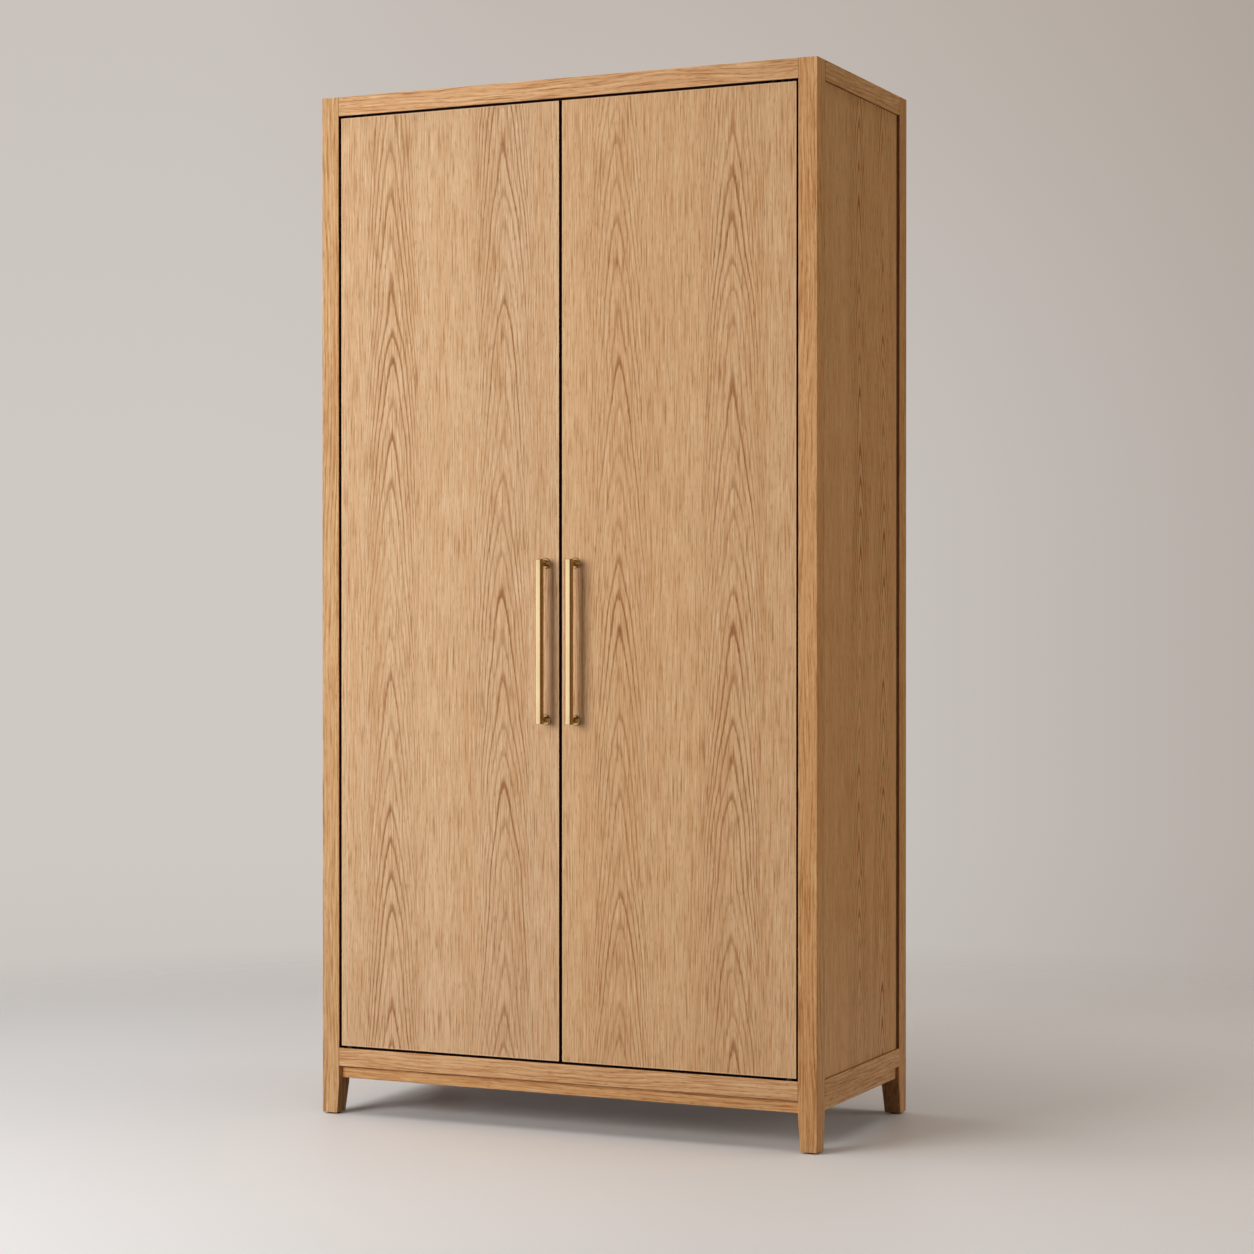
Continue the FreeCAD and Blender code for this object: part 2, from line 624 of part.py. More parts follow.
stop_screws = []
STRIP_LENGTH = ("-(stop_half)", "stop_half")
strip = fuse("door_stop_board", [
    box("door_stop_root", STRIP_LENGTH, ("front_face + rail_thickness", "stop_rear"),
        ("top_rail_bottom", "overall_height - top_panel_thickness - stop_top_gap")),
    box("door_stop_lip", STRIP_LENGTH, ("stop_face", "stop_rear"),
        ("top_rail_bottom - stop_drop", "top_rail_bottom")),
])
strip_waste = []
magnets = []
for side in SIDES:
    for spot, distance in (("outer", "stop_half - stop_screw_edge"), ("inner", "stop_screw_inset")):
        hole = drive(f"{side}_{spot}_stop_screw", stop_screw, stop_screw_hole, "front",
                     (on_side(side, distance), "stop_rear", "top_rail_bottom + stop_screw_rise"), stop_screws)
        strip_waste.append(hole)
        top_waste["front"].append(hole)
    magnets.append(rod(f"{side}_magnet", "rear", (on_side(side, "catch_offset"), "stop_face", "catch_height"),
                       "magnet_diameter", "magnet_length"))
piece(cut("door_stop_strip", strip, strip_waste + magnets))
piece(group("stop_screws", stop_screws))
piece(group("catch_magnets", magnets))

# Pivot hinges: a plate with a fixed pin under each door, and a plate with a bush over it

lower_plates = []
lower_pins = []
washers = []
upper_plates = []
upper_bushes = []


def plate_screws(name, side, level, direction):
    """The two screws of a pivot plate, as the shapes of their holes."""
    holes = []
    for distance in ("plate_screw_near", "plate_screw_far"):
        at = (on_side(side, f"pivot_x - {distance}"), "pivot_y", level)
        holes.append(drive(f"{name}_{distance}", plate_screw, plate_screw_hole, direction, at, short_screws))
    return holes


for side in SIDES:
    axis = on_side(side, "pivot_x")
    plate_plan = (span_on_side(side, "pivot_x - plate_tail", "pivot_x + plate_nose"),
                  about("pivot_y", "plate_width"))

    lower = box(f"{side}_lower_plate_blank", *plate_plan,
                ("base_rail_top - plate_thickness", "base_rail_top"))
    pin = rod(f"{side}_lower_pin", "up", (axis, "pivot_y", "base_rail_top - plate_thickness"),
              "pivot_pin_diameter", "plate_thickness + door_bottom_gap + pivot_engagement")
    holes = plate_screws(f"{side}_lower_plate", side, "base_rail_top", "down")
    lower_plates.append(cut(f"{side}_lower_plate", lower, [pin] + holes))
    lower_pins.append(pin)
    washers.append(tube(f"{side}_washer", "up", (axis, "pivot_y", "base_rail_top"), "washer_diameter",
                        "pivot_pin_diameter + 2 * washer_bore_clearance", "door_bottom_gap - washer_gap"))
    base_waste["front"] += [lower] + holes

    upper = box(f"{side}_upper_plate_blank", *plate_plan,
                ("top_rail_bottom", "top_rail_bottom + plate_thickness"))
    seat = (axis, "pivot_y", "top_rail_bottom")
    bush_hole = rod(f"{side}_upper_bush_hole", "up", seat, "bush_diameter", "bush_length")
    holes = plate_screws(f"{side}_upper_plate", side, "top_rail_bottom", "up")
    upper_plates.append(cut(f"{side}_upper_plate", upper, [bush_hole] + holes))
    upper_bushes.append(tube(f"{side}_upper_bush", "up", seat,
                             "bush_diameter", "2 * pivot_bore", "bush_length"))
    top_waste["front"] += [upper, bush_hole] + holes

piece(group("lower_pivot_plates", lower_plates))
piece(group("lower_pivot_pins", lower_pins))
piece(group("thrust_washers", washers))
piece(group("upper_pivot_plates", upper_plates))
piece(group("upper_pivot_bushes", upper_bushes))
piece(group("short_screws", short_screws))

# Doors: a core with lipped edges between two face veneers

BAR_OUTLINE = [
    ("0", "0"),
    ("bar_diameter / 2 - bar_chamfer", "0"),
    ("bar_diameter / 2", "bar_chamfer"),
    ("bar_diameter / 2", "bar_length - bar_chamfer"),
    ("bar_diameter / 2 - bar_chamfer", "bar_length"),
    ("0", "bar_length"),
]
ROSETTE_OUTLINE = [
    ("bolt_hole", "0"),
    ("rosette_diameter / 2", "0"),
    ("rosette_diameter / 2", "rosette_thickness - rosette_chamfer"),
    ("rosette_diameter / 2 - rosette_chamfer", "rosette_thickness"),
    ("bolt_hole", "rosette_thickness"),
]
FIXINGS = (("lower", "handle_height - handle_spacing / 2"), ("upper", "handle_height + handle_spacing / 2"))


def door_holes(side):
    """Everything that is bored into a door, as one cutting shape."""
    axis = on_side(side, "pivot_x")
    handle = on_side(side, "handle_offset")
    holes = [
        rod(f"{side}_bush_hole", "up", (axis, "pivot_y", "door_bottom"), "bush_diameter", "bush_length"),
        rod(f"{side}_pin_hole", "up", (axis, "pivot_y", "door_top - pivot_embed"),
            "pivot_pin_diameter", "pivot_embed + cut_overrun"),
        rod(f"{side}_strike_recess", "rear",
            (on_side(side, "catch_offset"), "door_rear - strike_thickness", "catch_height"),
            "strike_diameter", "strike_thickness + cut_overrun"),
    ]
    for level, height in FIXINGS:
        holes.append(rod(f"{side}_{level}_bolt_hole", "rear", (handle, "door_front - cut_overrun", height),
                         "2 * bolt_hole", "door_thickness + 2 * cut_overrun"))
        holes.append(rod(f"{side}_{level}_bolt_seat", "rear", (handle, "door_rear - bolt_seat", height),
                         "bolt_head_diameter + 2 * bolt_head_room", "bolt_seat + cut_overrun"))
    return fuse(f"{side}_door_holes", holes)


def door_leaf(side):
    """The core, lippings and veneers of one door."""
    holes = door_holes(side)
    width = span_on_side(side, "door_inner", "door_outer")
    height = ("door_bottom", "door_top")
    inner_width = grown(width, "-lipping_thickness")
    inner_height = grown(height, "-lipping_thickness")
    core_depth = ("core_front", "core_rear")
    piece(cut(f"{side}_door_core", box(f"{side}_core_board", inner_width, core_depth, inner_height), [holes]))
    strips = {
        "left": ((width[0], inner_width[0]), height),
        "right": ((inner_width[1], width[1]), height),
        "lower": (inner_width, (height[0], inner_height[0])),
        "upper": (inner_width, (inner_height[1], height[1])),
    }
    piece(group(f"{side}_door_lippings", [
        cut(f"{side}_door_{spot}_lipping", box(f"{side}_{spot}_strip", x, core_depth, z), [holes])
        for spot, (x, z) in strips.items()
    ]))
    sheets = {"front": ("door_front", "core_front"), "rear": ("core_rear", "door_rear")}
    piece(group(f"{side}_door_veneers", [
        cut(f"{side}_door_{face}_veneer", box(f"{side}_{face}_sheet", width, depth, height), [holes])
        for face, depth in sheets.items()
    ]))


def door_hardware(side):
    """The pivot bush, the pivot pin and the strike plate that a door carries."""
    axis = on_side(side, "pivot_x")
    piece(tube(f"{side}_lower_bush", "up", (axis, "pivot_y", "door_bottom"),
               "bush_diameter", "2 * pivot_bore", "bush_length"))
    piece(rod(f"{side}_upper_pin", "up", (axis, "pivot_y", "door_top - pivot_embed"),
              "pivot_pin_diameter", "pivot_embed + door_top_gap + pivot_engagement"))
    piece(rod(f"{side}_strike_plate", "rear",
              (on_side(side, "catch_offset"), "door_rear - strike_thickness", "catch_height"),
              "strike_diameter", "strike_thickness"))


def bar_handle(side):
    """A round bar on two standoffs, bolted through the door from behind."""
    x = on_side(side, "handle_offset")
    spigots = []
    standoffs = []
    rosettes = []
    bolts = []
    for level, height in FIXINGS:
        name = f"{side}_{level}"
        spigot = rod(f"{name}_spigot", "front", (x, "bar_axis + bar_diameter / 2 + spigot_overlap", height),
                     "spigot_diameter", "bar_diameter / 2 + 2 * spigot_overlap")
        stem = rod(f"{name}_stem", "front", (x, "rosette_face", height),
                   "standoff_diameter", "handle_projection - rosette_thickness")
        saddle = rod(f"{name}_saddle", "up", (x, "bar_axis", f"{height} - standoff_diameter"),
                     "bar_diameter", "2 * standoff_diameter")
        thread = rod(f"{name}_thread", "front", (x, "rosette_face", height), "bolt_diameter", "bolt_grip")
        coped = cut(f"{name}_coped_stem", stem, [saddle])
        spigots.append(spigot)
        standoffs.append(cut(f"{name}_standoff", fuse(f"{name}_standoff_blank", [coped, spigot]), [thread]))
        rosettes.append(turned(f"{name}_rosette", ROSETTE_OUTLINE, "front", (x, "door_front", height)))
        bolts.append(copy_at(f"{name}_bolt", handle_bolt, "front", (x, "door_rear - bolt_head_room", height)))
    bar = turned(f"{side}_bar_blank", BAR_OUTLINE, "up", (x, "bar_axis", "handle_height - bar_length / 2"))
    piece(cut(f"{side}_handle_bar", bar, spigots))
    piece(group(f"{side}_handle_standoffs", standoffs))
    piece(group(f"{side}_handle_rosettes", rosettes))
    piece(group(f"{side}_handle_bolts", bolts))


for side in SIDES:
    door_leaf(side)
    door_hardware(side)
    bar_handle(side)

# Holes for wall screws through the rear top rail

for side in SIDES:
    spot = (on_side(side, "wall_hole_spacing / 2"), "rear_face + cut_overrun",
            "top_rail_bottom + wall_hole_rise")
    top_waste["rear"].append(rod(f"{side}_wall_hole", "front", spot,
                                 "wall_hole_diameter", "rail_thickness + 2 * cut_overrun"))

# Floor glides, and the posts with their tapered legs

GLIDE_OUTLINE = [
    ("0", "0"),
    ("glide_diameter / 2 - glide_chamfer", "0"),
    ("glide_diameter / 2", "glide_chamfer"),
    ("glide_diameter / 2", "glide_height"),
    ("glide_nail_diameter / 2", "glide_height"),
    ("glide_nail_diameter / 2", "glide_height + glide_nail_length"),
    ("0", "glide_height + glide_nail_length"),
]


def tapered_foot(name, side, end):
    """The lower end of a post, drawn in on its two inner faces towards the floor."""
    foot = doc.addObject("Part::Wedge", name)
    foot.Placement = FreeCAD.Placement(FreeCAD.Vector(), TURNS["front"])
    sections = {
        "": (across(side, "0", "post_width - taper_width"), deep(end, "0", "post_depth - taper_depth")),
        "2": (across(side, "0", "post_width"), deep(end, "0", "post_depth")),
    }
    for section, (x, y) in sections.items():
        foot.setExpression(f"X{section}min", bound(x[0]))
        foot.setExpression(f"X{section}max", bound(x[1]))
        foot.setExpression(f"Z{section}min", bound(f"-({y[1]})"))
        foot.setExpression(f"Z{section}max", bound(f"-({y[0]})"))
    foot.setExpression("Ymin", bound("glide_height"))
    foot.setExpression("Ymax", bound("taper_start"))
    return foot


glides = []
for end in ENDS:
    for side in SIDES:
        name = f"{end}_{side}"
        foot_middle = (on_side(side, "half_width - (post_width - taper_width) / 2"),
                       back_from(end, "(post_depth - taper_depth) / 2"))
        glides.append(turned(f"{name}_glide", GLIDE_OUTLINE, "up", foot_middle + ("0",)))
        nail_hole = rod(f"{name}_nail_hole", "up", foot_middle + ("glide_height - cut_overrun",),
                        "glide_nail_diameter", "glide_nail_length + cut_overrun")
        shaft = corner_box(f"{name}_shaft", side, end, ("0", "post_width"), ("0", "post_depth"),
                           ("taper_start", "overall_height"))
        blank = fuse(f"{name}_post_blank", [shaft, tapered_foot(f"{name}_foot", side, end)])
        piece(cut(f"{name}_post", blank, post_waste[side, end] + [nail_hole]))
piece(group("floor_glides", glides))

for spot in ENDS + SIDES:
    piece(cut(f"{spot}_top_rail", top_blanks[spot], top_waste[spot]))
    piece(cut(f"{spot}_base_rail", base_blanks[spot], base_waste[spot]))

# Build, test and write

doc.recompute()
failed = [thing.Label for thing in doc.Objects if {"Invalid", "Error"} & set(thing.State)]
if failed:
    raise RuntimeError(f"these objects failed: {failed}")
for thing in pieces:
    if thing.Shape.isNull() or not thing.Shape.isValid() or not thing.Shape.Solids:
        raise RuntimeError(f"{thing.Label} is not a valid solid")

os.makedirs("parts", exist_ok=True)
for thing in pieces:
    thing.Shape.exportStep(f"parts/{thing.Label}.step")
print(f"{len(pieces)} pieces, {sum(len(thing.Shape.Solids) for thing in pieces)} solids")
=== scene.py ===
import json
import math

import bmesh
import bpy
from mathutils import Matrix, Vector

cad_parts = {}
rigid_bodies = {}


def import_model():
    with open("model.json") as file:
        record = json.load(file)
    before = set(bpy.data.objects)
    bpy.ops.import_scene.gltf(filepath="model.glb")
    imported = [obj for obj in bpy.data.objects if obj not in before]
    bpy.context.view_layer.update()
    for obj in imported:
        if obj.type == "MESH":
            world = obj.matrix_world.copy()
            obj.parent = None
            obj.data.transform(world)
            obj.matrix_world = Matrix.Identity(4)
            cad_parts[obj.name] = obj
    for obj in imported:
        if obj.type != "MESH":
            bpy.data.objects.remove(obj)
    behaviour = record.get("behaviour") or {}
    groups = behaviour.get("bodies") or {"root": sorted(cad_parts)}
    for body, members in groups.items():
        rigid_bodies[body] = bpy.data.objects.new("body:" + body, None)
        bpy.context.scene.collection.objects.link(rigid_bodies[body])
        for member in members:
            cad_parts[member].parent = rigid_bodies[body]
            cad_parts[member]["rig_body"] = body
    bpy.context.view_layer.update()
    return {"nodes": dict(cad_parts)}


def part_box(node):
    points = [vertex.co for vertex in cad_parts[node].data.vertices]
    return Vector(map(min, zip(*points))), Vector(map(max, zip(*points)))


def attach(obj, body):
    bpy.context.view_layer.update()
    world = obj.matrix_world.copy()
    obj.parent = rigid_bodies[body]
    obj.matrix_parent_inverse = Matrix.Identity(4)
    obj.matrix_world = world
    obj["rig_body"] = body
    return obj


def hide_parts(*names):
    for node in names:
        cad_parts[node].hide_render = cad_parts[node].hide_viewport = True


# A two-door oak wardrobe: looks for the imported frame. Metres, +Z up, doors facing -Y.

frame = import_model()
nodes = frame["nodes"]
scene = bpy.context.scene

SIDES = ("left", "right")
ENDS = ("front", "rear")


# Sockets and nodes

class Wire:
    """One socket of a node tree. Arithmetic on it adds Math nodes."""

    def __init__(self, tree, socket=None):
        self.tree = tree
        self.socket = socket

    def node(self, kind, settings=(), inputs=(), output=0):
        """Add a node: its settings come first, then the values or wires of its sockets."""
        made = self.tree.nodes.new(kind)
        for name, value in dict(settings).items():
            setattr(made, name, value)
        for name, value in dict(inputs).items():
            if isinstance(value, (Wire, list)):
                for wire in value if isinstance(value, list) else [value]:
                    self.tree.links.new(wire.socket, made.inputs[name])
            else:
                made.inputs[name].default_value = value
        return Wire(self.tree, made.outputs[output] if made.outputs else None)

    def beside(self, name):
        """Another output of the same node."""
        return Wire(self.tree, self.socket.node.outputs[name])

    def math(self, operation, *values):
        return self.node("ShaderNodeMath", {"operation": operation}, enumerate(values))

    def __add__(self, other):
        return self.math("ADD", self, other)

    def __sub__(self, other):
        return self.math("SUBTRACT", self, other)

    def __rsub__(self, other):
        return self.math("SUBTRACT", other, self)

    def __mul__(self, other):
        return self.math("MULTIPLY", self, other)

    def __truediv__(self, other):
        return self.math("DIVIDE", self, other)

    def __pow__(self, other):
        return self.math("POWER", self, other)

    def __abs__(self):
        return self.math("ABSOLUTE", self)

    def __gt__(self, other):
        return self.math("GREATER_THAN", self, other)

    def __lt__(self, other):
        return self.math("LESS_THAN", self, other)

    __radd__ = __add__
    __rmul__ = __mul__

    def most(self, other):
        """The larger of two values."""
        return self.math("MAXIMUM", self, other)

    def least(self, other):
        """The smaller of two values."""
        return self.math("MINIMUM", self, other)

    def turn(self):
        """What is left after the last whole number."""
        return self.math("FRACT", self)

    def ease(self, low, high, start=0.0, end=1.0):
        """A smooth step from start to end as the value goes from low to high."""
        return self.node("ShaderNodeMapRange", {"interpolation_type": "SMOOTHSTEP"}, {
            "Value": self, "From Min": low, "From Max": high, "To Min": start, "To Max": end})

    def point(self, x, y, z):
        return self.node("ShaderNodeCombineXYZ", (), {"X": x, "Y": y, "Z": z})

    def axes(self):
        """The three coordinates of a place."""
        first = self.node("ShaderNodeSeparateXYZ", (), {0: self})
        return {axis: first.beside(axis) for axis in "XYZ"}

    def along(self, direction):
        """How far a place lies in a direction."""
        return self.node("ShaderNodeVectorMath", {"operation": "DOT_PRODUCT"},
                         {0: self, 1: tuple(direction)}, output="Value")

    def noise(self, place, detail=2.0, roughness=0.5, scale=1.0):
        """Smooth noise from 0 to 1, with about as many lumps in a unit as the scale says."""
        return self.node("ShaderNodeTexNoise", {"noise_dimensions": "3D"}, {
            "Vector": place, "Scale": scale, "Detail": detail, "Roughness": roughness})

    def tint(self, share, colour, other):
        """A colour that goes to another one as share goes from 0 to 1."""
        return self.node("ShaderNodeMix", {"data_type": "RGBA", "clamp_factor": True}, {
            0: share, 6: colour, 7: other}, output=2)

    def filtered(self, colour, other):
        """A colour multiplied by another one."""
        return self.node("ShaderNodeMix", {"data_type": "RGBA", "blend_type": "MULTIPLY"}, {
            0: 1.0, 6: colour, 7: other}, output=2)

    def shade(self, colour, amount):
        """A colour made darker or lighter by an amount."""
        return self.filtered(colour, self.point(amount, amount, amount))


def paint(red, green, blue):
    """A screen colour as the linear one that a shader takes."""
    def linear(value):
        return value / 12.92 if value <= 0.04045 else ((value + 0.055) / 1.055) ** 2.4
    return linear(red), linear(green), linear(blue), 1.0


def new_finish(name):
    """An empty material, and a wire to start its tree with."""
    material = bpy.data.materials.new(name)
    material.use_nodes = True
    material.node_tree.nodes.clear()
    return material, Wire(material.node_tree)


def own_place(start):
    """The piece's own coordinates, in metres."""
    return start.node("ShaderNodeTexCoord", output="Object")


def coat(start, colour, roughness, height=None, depth=0.0, **constants):
    """Close a tree with a Principled surface; height becomes relief of that depth in metres."""
    inputs = {"Base Color": colour, "Roughness": roughness}
    inputs.update({name.replace("_", " "): value for name, value in constants.items()})
    if height is not None:
        inputs["Normal"] = start.node("ShaderNodeBump", (), {
            "Height": height, "Strength": 1.0, "Distance": depth})
    surface = start.node("ShaderNodeBsdfPrincipled", (), inputs)
    start.node("ShaderNodeOutputMaterial", (), {"Surface": surface})


# Oak

OAK_PALE = paint(0.905, 0.757, 0.598)
OAK_WARM = paint(0.869, 0.702, 0.536)
OAK_LIGHT = paint(0.951, 0.831, 0.682)
OAK_LINE = paint(0.590, 0.375, 0.185)
OAK_PORE = paint(0.690, 0.490, 0.300)
# Dark brown for the painted shade in the gaps round doors and panels, and for the dark joints
OAK_PAINTED_SHADE = paint(0.245, 0.108, 0.040)
OAK_ROUGHNESS = 0.44
OAK_SPECULAR = 0.3
OAK_RELIEF = 0.00012
DARKENED_DULLS = 0.3
PLAIN = (1.0, 1.0, 1.0)


def grain_places(start, across, through, along):
    """The coordinates across the grain, through the board and along the grain."""
    axes = own_place(start).axes()
    return axes[across], axes[through], axes[along]


def lumps(start, places, across, along, detail=2.0, roughness=0.5):
    """Noise with so many lumps in a metre across the grain, and so many along it."""
    u, w, v = places
    return start.noise(start.point(u * across, w * across, v * along), detail, roughness)


def ring_line(phase):
    """A thin dark line once in every whole turn of the phase, crisp on one side."""
    since = phase.turn()
    return since.ease(0.0, 0.10) * since.ease(0.16, 0.50, 1.0, 0.0)


def oak_surface(start, flow, places, rings, tone=PLAIN, joints_and_painted_shade=None, edge_highlight=None):
    """Lacquered oak: ring lines, with fine streaks that follow the same flow."""
    flowing = (flow, *places[1:])
    bands = lumps(start, flowing, 34, 0.9, 3.0, 0.6)
    patches = lumps(start, places, 6, 2.0)
    streaks = lumps(start, flowing, 430, 12, 2.0, 0.6)
    pores = lumps(start, places, 430, 50, 1.0)
    fibres = lumps(start, places, 800, 26, 1.0)
    dark = streaks.ease(0.50, 0.72)
    light = streaks.ease(0.48, 0.28)
    ticks = pores.ease(0.54, 0.72)

    ground = start.tint(bands.ease(0.3, 0.7), OAK_PALE, OAK_WARM)
    colour = start.tint(light * 0.9, ground, OAK_LIGHT)
    colour = start.tint(dark * 0.85, colour, OAK_PORE)
    lines = rings * (0.75 + 0.5 * ticks)
    colour = start.tint(lines, colour, OAK_LINE)
    colour = start.tint(ticks * 0.36, colour, OAK_PORE)
    # A painted highlight along the door's edges
    if edge_highlight is not None:
        colour = start.tint(edge_highlight * 0.5, colour, OAK_LIGHT)
    level = (0.92 + 0.16 * fibres) * (0.96 + 0.08 * patches)
    colour = start.filtered(start.shade(colour, level), (*tone, 1.0))
    roughness = OAK_ROUGHNESS + 0.12 * ticks + 0.10 * dark
    # Painted shade where a face looks into a gap, and dark joints: both darken the colour and dull
    # it
    if joints_and_painted_shade is not None:
        colour = start.tint(joints_and_painted_shade, colour, OAK_PAINTED_SHADE)
        roughness = roughness + joints_and_painted_shade * DARKENED_DULLS
    relief = fibres * 0.3 - ticks - lines * 0.6 - dark * 0.4
    coat(start, colour, roughness, relief, OAK_RELIEF, Specular_IOR_Level=OAK_SPECULAR)


RIFT_STRENGTH = 0.5
RIFT_DRIFT = 0.05
RIFT_RAGGED = 0.6


def rift_oak(name, across, through, along, tone=PLAIN, ring=0.0075, seed=0.0, joints_and_painted_shade=None):
    """Solid oak stock with nearly straight grain; the last argument says where it is darkened: dark
    joints, and painted shade where it looks into a gap.
    """
    material, start = new_finish(name)
    u, w, v = places = grain_places(start, across, through, along)
    drift = start.noise(start.point(u * 7 + seed, w * 7, v * 1.6))
    ragged = start.noise(start.point(u * 260 + seed, w * 260, v * 30))
    flow = u * 0.85 + w * 0.55 + drift * RIFT_DRIFT
    phase = flow / ring + ragged * RIFT_RAGGED
    clumps = start.noise(start.point(u * 45, w * 45, v * 1.8 + seed), 1.0)
    rings = ring_line(phase) * clumps.ease(0.35, 0.65, 0.2, 1.0) * RIFT_STRENGTH
    oak_surface(start, flow, places, rings, tone, joints_and_painted_shade and joints_and_painted_shade(u, w, v))
    return material


TIP_ROUND = 0.006
FLAME_SLOPE = 5.8
FLAME_SPREAD = 900.0
FLAME_EDGE = (0.042, 0.080)
SWAY = 0.03
STRETCH = 0.26
LEAN = 0.06
STREAK_LEAN = 0.008
CROWN_RAGGED = 0.22
EDGE_HIGHLIGHT = (0.001, 0.0035)


def crown_oak(name, across, through, hearts, seam, strength, tone=PLAIN, rise=0.084, seed=0.0,
              border=None):
    """Crown-cut oak, two leaves wide: arches stacked on a heart line, straight grain beside it."""
    material, start = new_finish(name)
    u, w, v = places = grain_places(start, across, through, "Z")
    second = u > seam
    heart = hearts[0] + second * (hearts[1] - hearts[0])
    bold = strength[0] + second * (strength[1] - strength[0])
    leaf = second * 3.7 + w * 60 + seed
    sway = start.noise(start.point(leaf, v * 1.3, leaf), 1.0) - 0.5
    beside = abs(u - heart - sway * SWAY)
    stretch = start.noise(start.point(leaf + 5, v * 2.6, leaf)) - 0.5
    lean = start.noise(start.point(u * 16 + leaf, v * 3, leaf)) - 0.5
    ragged = start.noise(start.point(u * 300 + leaf, v * 40, leaf)) - 0.5
    leg = start.math("SQRT", beside ** 2 + TIP_ROUND ** 2) - TIP_ROUND
    flank = leg * FLAME_SLOPE + beside ** 3 * FLAME_SPREAD
    phase = (v + stretch * STRETCH + lean * LEAN + flank) / rise + ragged * CROWN_RAGGED
    ring = phase - phase.turn()
    weight = start.noise(start.point(ring * 0.73, leaf, 0.5), 0.0).ease(0.35, 0.65, 0.45, 1.0)
    patchy = start.noise(start.point(u * 12 + leaf, v * 4, leaf + 9), 1.0)
    fade = patchy.ease(0.3, 0.6, 0.55, 1.0)
    near = beside.ease(*FLAME_EDGE, 1.0, 0.0)
    rings = ring_line(phase) * weight * fade * near * bold

    # Painted highlight: lighter within a few millimetres of the door face's border
    edge_highlight = None
    if border:
        low, high, foot, head = border
        edge = (u - low).least(high - u).least((v - foot).least(head - v))
        edge_highlight = edge.ease(*EDGE_HIGHLIGHT, 1.0, 0.0)
    oak_surface(start, u + lean * STREAK_LEAN, places, rings, tone, edge_highlight=edge_highlight)
    return material


# Where the frame is darkened: painted shade on the faces round the doors and round the side panels,
# and dark joints

post_low, post_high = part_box("front_left_post")
rear_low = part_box("rear_left_post")[0]
DOOR_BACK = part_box("left_door_veneers")[1].y
PANEL_FACE = -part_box("left_side_panel")[0].x
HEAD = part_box("front_top_rail")[0].z
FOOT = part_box("front_base_rail")[1].z
OPENING = -post_high.x
SIDE_MIDDLE = (post_high.y + rear_low.y) / 2
SIDE_HALF = (rear_low.y - post_high.y) / 2
SKIN = 0.0004
JOINT = 0.0009
JOINT_STAIN = 0.45


def between_rails(z):
    return (z > FOOT - SKIN) * (z < HEAD + SKIN)


def beside_door(y):
    return (y > post_low.y + 4 * SKIN) * (y < DOOR_BACK + SKIN)


def post_painted_shade(x, y, z):
    """The faces of a post that look at a door's edge or at a side panel's edge, darkened as painted
    shade for the gaps there.
    """
    in_side = (abs(y - SIDE_MIDDLE) < SIDE_HALF + SKIN) * (z > FOOT)
    at_panel = (abs(x) > PANEL_FACE + SKIN) * in_side
    at_door = beside_door(y) * between_rails(z) * (abs(x) < OPENING + SKIN)
    return at_door.most(at_panel * 0.7)


def rail_joint_and_painted_shade(z, y, x):
    """The faces of the front rails that look at a door's edge, darkened as painted shade for the
    gap, and the dark joints to the posts.
    """
    at_door = beside_door(y) * between_rails(z)
    return at_door.most((abs(x) > OPENING - JOINT) * JOINT_STAIN)


def side_rail_joint_and_painted_shade(z, x, y):
    """The faces of the side rails that look at a panel's edge, darkened as painted shade, and the
    dark joints to the posts.
    """
    at_panel = (abs(x) > PANEL_FACE + SKIN) * between_rails(z)
    at_joint = abs(y - SIDE_MIDDLE) > SIDE_HALF - JOINT
    return (at_panel * 0.6).most(at_joint * JOINT_STAIN)


def door_border(side):
    """A door's face: its two sides, its foot and its head."""
    low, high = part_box(f"{side}_door_veneers")
    return low.x, high.x, low.z, high.z


RIGHT_TONE = (1.0, 0.955, 0.89)
# Lit and shaded copies of the post oak, as painted shade: paler for the lit left post, deeper for
# the right post, darker still for the rear posts and back stile
LIT_POST_TONE = (0.96, 0.89, 0.755)
SHADED_POST_TONE = (0.985, 0.825, 0.62)
SHADED_REAR_TONE = (0.86, 0.70, 0.52)
RAIL_TONE = (1.03, 0.93, 0.82)
# The aprons are deeper in tone than the rails: painted shade under the rails
SHADED_APRON_TONE = (1.03, 0.88, 0.68)
# A deeper tone for the shaded sides: painted shade
SHADED_SIDE_TONE = (1.0, 0.86, 0.69)
SHELF_TONE = (0.97, 0.95, 0.92)
DOOR_STRENGTH = (1.0, 1.1)
SIDE_STRENGTH = (1.35, 1.35)
BACK_STRENGTH = (0.7, 0.7)
left_door_oak = crown_oak("left_door_oak", "X", "Y", (-0.396, -0.130), -0.259, DOOR_STRENGTH,
                          seed=1.0, border=door_border("left"))
right_door_oak = crown_oak("right_door_oak", "X", "Y", (0.128, 0.380), 0.259, DOOR_STRENGTH,
                           RIGHT_TONE, seed=4.0, border=door_border("right"))
side_panel_oak = crown_oak("side_panel_oak", "Y", "X", (0.01, 0.155), 0.085, SIDE_STRENGTH,
                           SHADED_SIDE_TONE, rise=0.075, seed=9.0)
left_post_oak = rift_oak("left_post_oak", "X", "Y", "Z", LIT_POST_TONE, seed=2.0, joints_and_painted_shade=post_painted_shade)
right_post_oak = rift_oak("right_post_oak", "X", "Y", "Z", SHADED_POST_TONE, seed=7.0, joints_and_painted_shade=post_painted_shade)
rear_post_oak = rift_oak("rear_post_oak", "X", "Y", "Z", SHADED_REAR_TONE, seed=10.0, joints_and_painted_shade=post_painted_shade)
cross_oak = rift_oak("cross_oak", "Z", "Y", "X", RAIL_TONE, seed=3.0, joints_and_painted_shade=rail_joint_and_painted_shade)
